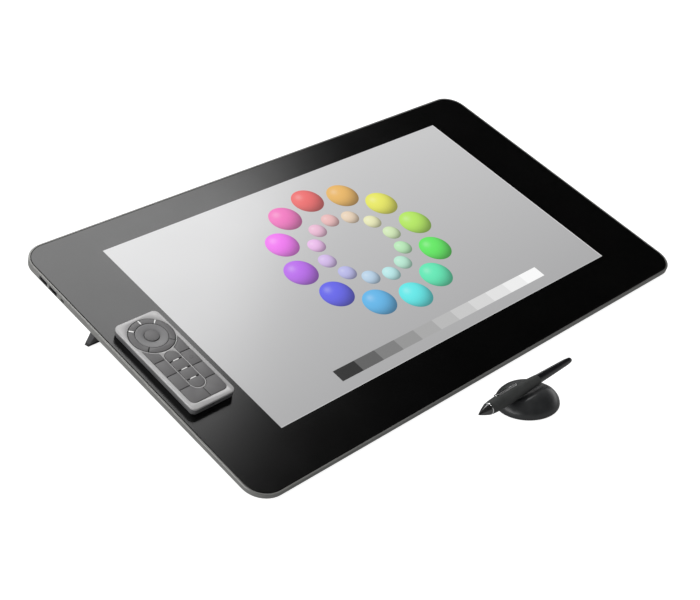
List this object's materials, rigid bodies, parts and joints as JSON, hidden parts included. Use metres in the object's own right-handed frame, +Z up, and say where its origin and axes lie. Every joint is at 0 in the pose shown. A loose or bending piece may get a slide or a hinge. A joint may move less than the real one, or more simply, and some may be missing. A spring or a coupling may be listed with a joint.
{
  "type": "pen drawing tablet",
  "caption": "Wide pen display standing on two fold-out rear legs, with a key remote on the left border and a pen in a small dome stand.",
  "frame": {"origin": "on the floor, under the middle of the whole set's box", "axes": "+X to the right along the tablet's width, +Y to the rear, +Z up; the tablet stands on its open legs, its glass sloping 20 degrees down to the front"},
  "size_m": [0.677, 0.476, 0.1435],
  "materials": {
    "glass": "etched matt cover glass over a black border",
    "panel": "lit picture area",
    "inner_plastic": "white optical sheets and mould",
    "board": "solder-masked circuit board",
    "rim": "dark anodised, finely blasted, with a bright top edge",
    "frame_metal": "bare pressed sheet",
    "cover_plastic": "fine moulded texture",
    "leg_plastic": "fine moulded texture",
    "rubber": "soft matt rubber",
    "steel": "turned and pressed steel",
    "brass": "knurled threaded insert",
    "socket_metal": "plated socket shells",
    "button": "smooth button",
    "fan_plastic": "moulded fan",
    "remote_frame": "satin silver",
    "remote_shell": "fine moulded texture",
    "key_plastic": "satin grey keys",
    "touch_plastic": "satin grey touch ring",
    "light_bar": "light guide bars",
    "battery": "foil pouch cell",
    "grip_rubber": "soft grip rubber with fine grain",
    "barrel_gloss": "polished barrel",
    "cone_metal": "dark polished cone",
    "bright_ring": "bright ring",
    "nib": "hard nib",
    "stand_plastic": "satin moulded stand"
  },
  "bodies": {
    "tablet": {"cover_glass": "glass", "display_gasket": "rubber", "lcd_panel": "panel", "backlight_unit": "inner_plastic", "sensor_board": "board", "side_rim": "rim", "left_sockets": "socket_metal", "right_sockets": "socket_metal", "rear_tray": "cover_plastic", "rear_cover": "cover_plastic", "bay_cover": "cover_plastic", "back_screws": "steel", "mount_inserts": "brass", "chassis_frame": "frame_metal", "main_board": "board", "fan_housing": "fan_plastic", "rear_sockets": "socket_metal", "rubber_feet": "rubber", "leg_brackets": "steel", "leg_hinge_pins": "steel"},
    "power_button": {"power_button": "button"},
    "fan_rotor": {"fan_rotor": "fan_plastic"},
    "port_cover": {"port_cover": "cover_plastic"},
    "leg_left": {"leg_left": "leg_plastic", "leg_foot_left": "rubber"},
    "leg_right": {"leg_right": "leg_plastic", "leg_foot_right": "rubber"},
    "remote": {"remote_bottom_shell": "remote_shell", "remote_top_frame": "remote_frame", "touch_ring": "touch_plastic", "remote_light_bars": "light_bar", "remote_board": "board", "remote_battery": "battery"},
    "pen_stand": {"pen_stand_dome": "stand_plastic"},
    "stand_base": {"pen_stand_base": "rubber"},
    "pen": {"pen_grip": "grip_rubber", "pen_barrel": "barrel_gloss", "pen_cone": "cone_metal", "pen_ring": "bright_ring"},
    "pen_nib": {"pen_nib": "nib"},
    "pen_side_switch": {"pen_side_switch": "barrel_gloss"},
    "pen_eraser": {"pen_eraser": "barrel_gloss"},
    "ring_key_1": {"ring_key_1": "key_plastic"},
    "ring_key_2": {"ring_key_2": "key_plastic"},
    "ring_key_3": {"ring_key_3": "key_plastic"},
    "ring_key_4": {"ring_key_4": "key_plastic"},
    "ring_key_5": {"ring_key_5": "key_plastic"},
    "strip_key_1": {"strip_key_1": "key_plastic"},
    "strip_key_2": {"strip_key_2": "key_plastic"},
    "strip_key_3": {"strip_key_3": "key_plastic"},
    "strip_key_4": {"strip_key_4": "key_plastic"},
    "left_key_1": {"left_key_1": "key_plastic"},
    "left_key_2": {"left_key_2": "key_plastic"},
    "left_key_3": {"left_key_3": "key_plastic"},
    "right_key_1": {"right_key_1": "key_plastic"},
    "right_key_2": {"right_key_2": "key_plastic"},
    "right_key_3": {"right_key_3": "key_plastic"},
    "lower_key_left": {"lower_key_left": "key_plastic"},
    "lower_key_right": {"lower_key_right": "key_plastic"},
    "remote_center_key": {"remote_center_key": "key_plastic"}
  },
  "joints": [
    {"name": "leg_left_fold", "type": "hinge", "parent": "tablet", "child": "leg_left", "pos_m": [-0.248, 0.16587, 0.08724], "axis": [-1, 0, 0], "range_deg": [0, 113]},
    {"name": "leg_right_fold", "type": "hinge", "parent": "tablet", "child": "leg_right", "pos_m": [0.248, 0.16587, 0.08724], "axis": [-1, 0, 0], "range_deg": [0, 113]},
    {"name": "port_cover_off", "type": "slide", "parent": "tablet", "child": "port_cover", "axis": [0, 0.2588, -0.9659], "range_m": [0, 0.04]},
    {"name": "fan_spin", "type": "hinge", "parent": "tablet", "child": "fan_rotor", "pos_m": [0.11, 0.14229, 0.08247], "axis": [0, 0.2588, -0.9659], "continuous": true},
    {"name": "power_button_press", "type": "slide", "parent": "tablet", "child": "power_button", "axis": [0, -0.9397, -0.342], "range_m": [0, 0.0008], "stiffness_N_per_m": 1500},
    {"name": "remote_lift", "type": "slide", "parent": "tablet", "child": "remote", "axis": [0, -0.342, 0.9397], "range_m": [0, 0.08]},
    {"name": "ring_key_1_press", "type": "slide", "parent": "remote", "child": "ring_key_1", "axis": [0, 0.342, -0.9397], "range_m": [0, 0.0005], "stiffness_N_per_m": 1500},
    {"name": "ring_key_2_press", "type": "slide", "parent": "remote", "child": "ring_key_2", "axis": [0, 0.342, -0.9397], "range_m": [0, 0.0005], "stiffness_N_per_m": 1500},
    {"name": "ring_key_3_press", "type": "slide", "parent": "remote", "child": "ring_key_3", "axis": [0, 0.342, -0.9397], "range_m": [0, 0.0005], "stiffness_N_per_m": 1500},
    {"name": "ring_key_4_press", "type": "slide", "parent": "remote", "child": "ring_key_4", "axis": [0, 0.342, -0.9397], "range_m": [0, 0.0005], "stiffness_N_per_m": 1500},
    {"name": "ring_key_5_press", "type": "slide", "parent": "remote", "child": "ring_key_5", "axis": [0, 0.342, -0.9397], "range_m": [0, 0.0005], "stiffness_N_per_m": 1500},
    {"name": "strip_key_1_press", "type": "slide", "parent": "remote", "child": "strip_key_1", "axis": [0, 0.342, -0.9397], "range_m": [0, 0.0005], "stiffness_N_per_m": 1500},
    {"name": "strip_key_2_press", "type": "slide", "parent": "remote", "child": "strip_key_2", "axis": [0, 0.342, -0.9397], "range_m": [0, 0.0005], "stiffness_N_per_m": 1500},
    {"name": "strip_key_3_press", "type": "slide", "parent": "remote", "child": "strip_key_3", "axis": [0, 0.342, -0.9397], "range_m": [0, 0.0005], "stiffness_N_per_m": 1500},
    {"name": "strip_key_4_press", "type": "slide", "parent": "remote", "child": "strip_key_4", "axis": [0, 0.342, -0.9397], "range_m": [0, 0.0005], "stiffness_N_per_m": 1500},
    {"name": "left_key_1_press", "type": "slide", "parent": "remote", "child": "left_key_1", "axis": [0, 0.342, -0.9397], "range_m": [0, 0.0005], "stiffness_N_per_m": 1500},
    {"name": "left_key_2_press", "type": "slide", "parent": "remote", "child": "left_key_2", "axis": [0, 0.342, -0.9397], "range_m": [0, 0.0005], "stiffness_N_per_m": 1500},
    {"name": "left_key_3_press", "type": "slide", "parent": "remote", "child": "left_key_3", "axis": [0, 0.342, -0.9397], "range_m": [0, 0.0005], "stiffness_N_per_m": 1500},
    {"name": "right_key_1_press", "type": "slide", "parent": "remote", "child": "right_key_1", "axis": [0, 0.342, -0.9397], "range_m": [0, 0.0005], "stiffness_N_per_m": 1500},
    {"name": "right_key_2_press", "type": "slide", "parent": "remote", "child": "right_key_2", "axis": [0, 0.342, -0.9397], "range_m": [0, 0.0005], "stiffness_N_per_m": 1500},
    {"name": "right_key_3_press", "type": "slide", "parent": "remote", "child": "right_key_3", "axis": [0, 0.342, -0.9397], "range_m": [0, 0.0005], "stiffness_N_per_m": 1500},
    {"name": "lower_key_left_press", "type": "slide", "parent": "remote", "child": "lower_key_left", "axis": [0, 0.342, -0.9397], "range_m": [0, 0.0005], "stiffness_N_per_m": 1500},
    {"name": "lower_key_right_press", "type": "slide", "parent": "remote", "child": "lower_key_right", "axis": [0, 0.342, -0.9397], "range_m": [0, 0.0005], "stiffness_N_per_m": 1500},
    {"name": "remote_center_key_press", "type": "slide", "parent": "remote", "child": "remote_center_key", "axis": [0, 0.342, -0.9397], "range_m": [0, 0.0005], "stiffness_N_per_m": 1500},
    {"name": "pen_stand_lift", "type": "slide", "parent": "tablet", "child": "pen_stand", "axis": [0, 0, 1], "range_m": [0, 0.1]},
    {"name": "stand_base_twist", "type": "hinge", "parent": "pen_stand", "child": "stand_base", "pos_m": [-0.0302, -0.20447, 0.0025], "axis": [0, 0, 1], "range_deg": [0, 30]},
    {"name": "pen_lift", "type": "slide", "parent": "pen_stand", "child": "pen", "axis": [0, 0, 1], "range_m": [0, 0.1]},
    {"name": "pen_nib_press", "type": "slide", "parent": "pen", "child": "pen_nib", "axis": [0.9988, 0.0349, -0.0349], "range_m": [0, 0.001], "stiffness_N_per_m": 1500},
    {"name": "pen_eraser_press", "type": "slide", "parent": "pen", "child": "pen_eraser", "axis": [-0.9988, -0.0349, 0.0349], "range_m": [0, 0.0006], "stiffness_N_per_m": 1500},
    {"name": "pen_switch_rock", "type": "hinge", "parent": "pen", "child": "pen_side_switch", "pos_m": [-0.06318, -0.20309, 0.02992], "axis": [-0.0472, 0.8817, -0.4694], "range_deg": [-1.2, 1.2], "stiffness_Nm_per_rad": 0.5}
  ]
}
